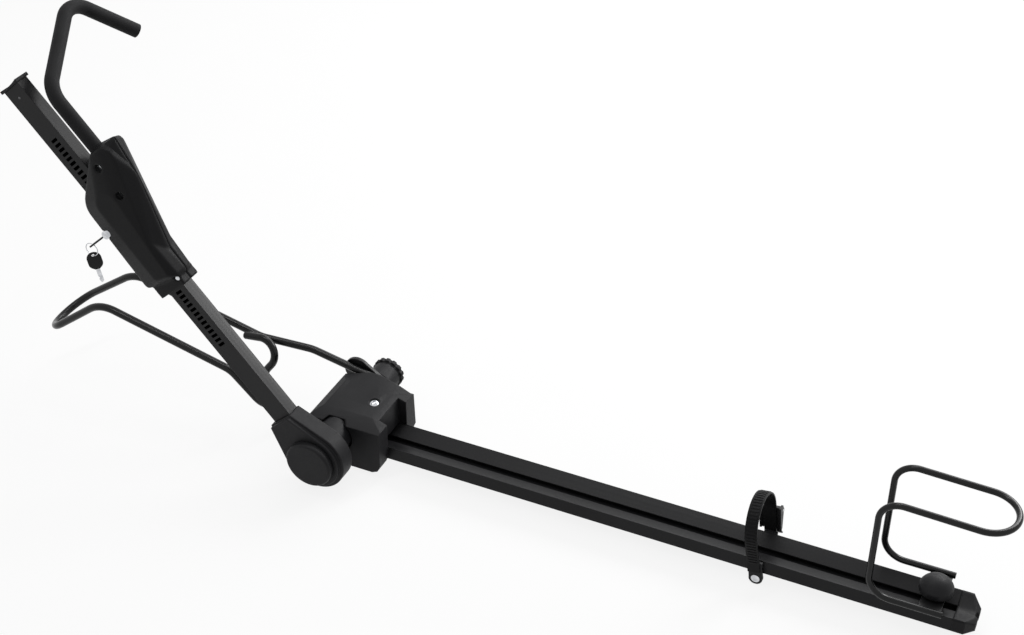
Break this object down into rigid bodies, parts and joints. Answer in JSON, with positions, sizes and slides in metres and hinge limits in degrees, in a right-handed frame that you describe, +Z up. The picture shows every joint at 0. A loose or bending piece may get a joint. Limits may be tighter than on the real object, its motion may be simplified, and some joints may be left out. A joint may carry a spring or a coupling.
{
  "type": "roof mounted bike carrier",
  "caption": "Black roof mounted bike carrier: wheel rail with folding frame arm and lockable hook, front wheel hoop, ladder strap and sliding rear wheel loop",
  "frame": {"origin": "on the rail's underside at the middle of its length and width, where the underside slot takes the roof bar's fasteners", "axes": "+X runs along the rail towards its rear end with the sliding wheel loop, +Y across the rail away from the frame arm, +Z up"},
  "size_m": [1.5195, 0.2549, 0.6383],
  "materials": {
    "black_anodised": "satin black anodised extrusion",
    "black_coat": "satin black powder coat",
    "black_moulding": "fine-grained black moulding",
    "soft_sleeve": "soft matt black cover",
    "strap_band": "flexible satin black band",
    "smooth_black": "smooth black moulding",
    "plain_steel": "plain zinc-plated steel",
    "bright_steel": "bright plated steel",
    "bearing_brass": "plain brass"
  },
  "bodies": {
    "carrier": {"rail_near_side": "black_anodised", "rail_far_side": "black_anodised", "rail_web": "black_anodised", "rail_end_cap": "black_moulding", "base_housing": "black_moulding", "base_bolt": "bright_steel", "base_nut": "plain_steel", "pivot_axle": "plain_steel", "axle_bushes": "bearing_brass"},
    "arm": {"arm_hub": "black_moulding", "arm_foot": "black_moulding", "foot_cap": "black_moulding", "arm_tube": "black_anodised", "arm_end_cap": "black_moulding", "end_cap_pin": "plain_steel"},
    "slider": {"slider_near_shell": "black_moulding", "slider_far_shell": "black_moulding", "hook_rod": "plain_steel", "hook_sleeve": "soft_sleeve", "hook_bolts": "bright_steel", "shell_screw": "bright_steel", "pawl_spring": "plain_steel", "lock_barrel": "bright_steel"},
    "pawl": {"pawl": "plain_steel"},
    "lock": {"lock_plug": "bright_steel", "key_blade": "bright_steel", "lock_key": "smooth_black"},
    "ring": {"key_ring": "bright_steel"},
    "spare": {"spare_key": "smooth_black", "spare_blade": "bright_steel"},
    "hoop": {"front_hoop": "black_coat", "hoop_ear": "black_coat", "hoop_hub": "black_moulding"},
    "tension_knob": {"tension_knob": "black_moulding"},
    "strap": {"strap_bracket": "black_moulding", "wheel_strap": "strap_band", "strap_rivet": "bright_steel", "buckle_body": "black_moulding", "buckle_pin": "plain_steel"},
    "lever": {"buckle_lever": "smooth_black"},
    "loop": {"rear_loop": "black_coat", "loop_clamp": "black_coat", "clamp_bolt": "plain_steel"},
    "rear_knob": {"rear_knob": "black_moulding", "knob_insert": "bearing_brass"}
  },
  "joints": [
    {"name": "arm_fold", "type": "hinge", "parent": "carrier", "child": "arm", "pos_m": [-0.443, 0, 0.04], "axis": [0, 1, 0], "range_deg": [-10, 115]},
    {"name": "slider_travel", "type": "slide", "parent": "arm", "child": "slider", "axis": [-0.6587, 0, 0.7524], "range_m": [-0.16, 0.056]},
    {"name": "pawl_drop", "type": "slide", "parent": "slider", "child": "pawl", "axis": [0, 1, 0], "range_m": [0, 0.0024]},
    {"name": "key_turn", "type": "hinge", "parent": "slider", "child": "lock", "pos_m": [-0.75784, -0.1235, 0.3465], "axis": [-0.736, -0.2079, -0.6443], "range_deg": [0, 90]},
    {"name": "ring_swing", "type": "hinge", "parent": "lock", "child": "ring", "pos_m": [-0.77771, -0.12911, 0.32911], "axis": [0, 1, 0], "range_deg": [-4, 15]},
    {"name": "spare_swing", "type": "hinge", "parent": "ring", "child": "spare", "pos_m": [-0.78146, -0.12911, 0.30984], "axis": [0.6428, -0.766, 0], "range_deg": [-18, 6]},
    {"name": "hoop_tilt", "type": "hinge", "parent": "carrier", "child": "hoop", "pos_m": [-0.443, 0, 0.04], "axis": [0, 1, 0], "range_deg": [-5, 25]},
    {"name": "tension_turn", "type": "hinge", "parent": "carrier", "child": "tension_knob", "pos_m": [-0.443, 0, 0.04], "axis": [0, 1, 0], "continuous": true},
    {"name": "strap_slide", "type": "slide", "parent": "carrier", "child": "strap", "axis": [1, 0, 0], "range_m": [-0.35, 0.11]},
    {"name": "buckle_open", "type": "hinge", "parent": "strap", "child": "lever", "pos_m": [0.2019, 0.05173, 0.04769], "axis": [0.9912, 0, 0.1323], "range_deg": [0, 75]},
    {"name": "loop_slide", "type": "slide", "parent": "carrier", "child": "loop", "axis": [1, 0, 0], "range_m": [-0.1, 0.008]},
    {"name": "rear_knob_turn", "type": "hinge", "parent": "loop", "child": "rear_knob", "pos_m": [0.447, 0, 0.04], "axis": [0, 0, 1], "continuous": true}
  ]
}
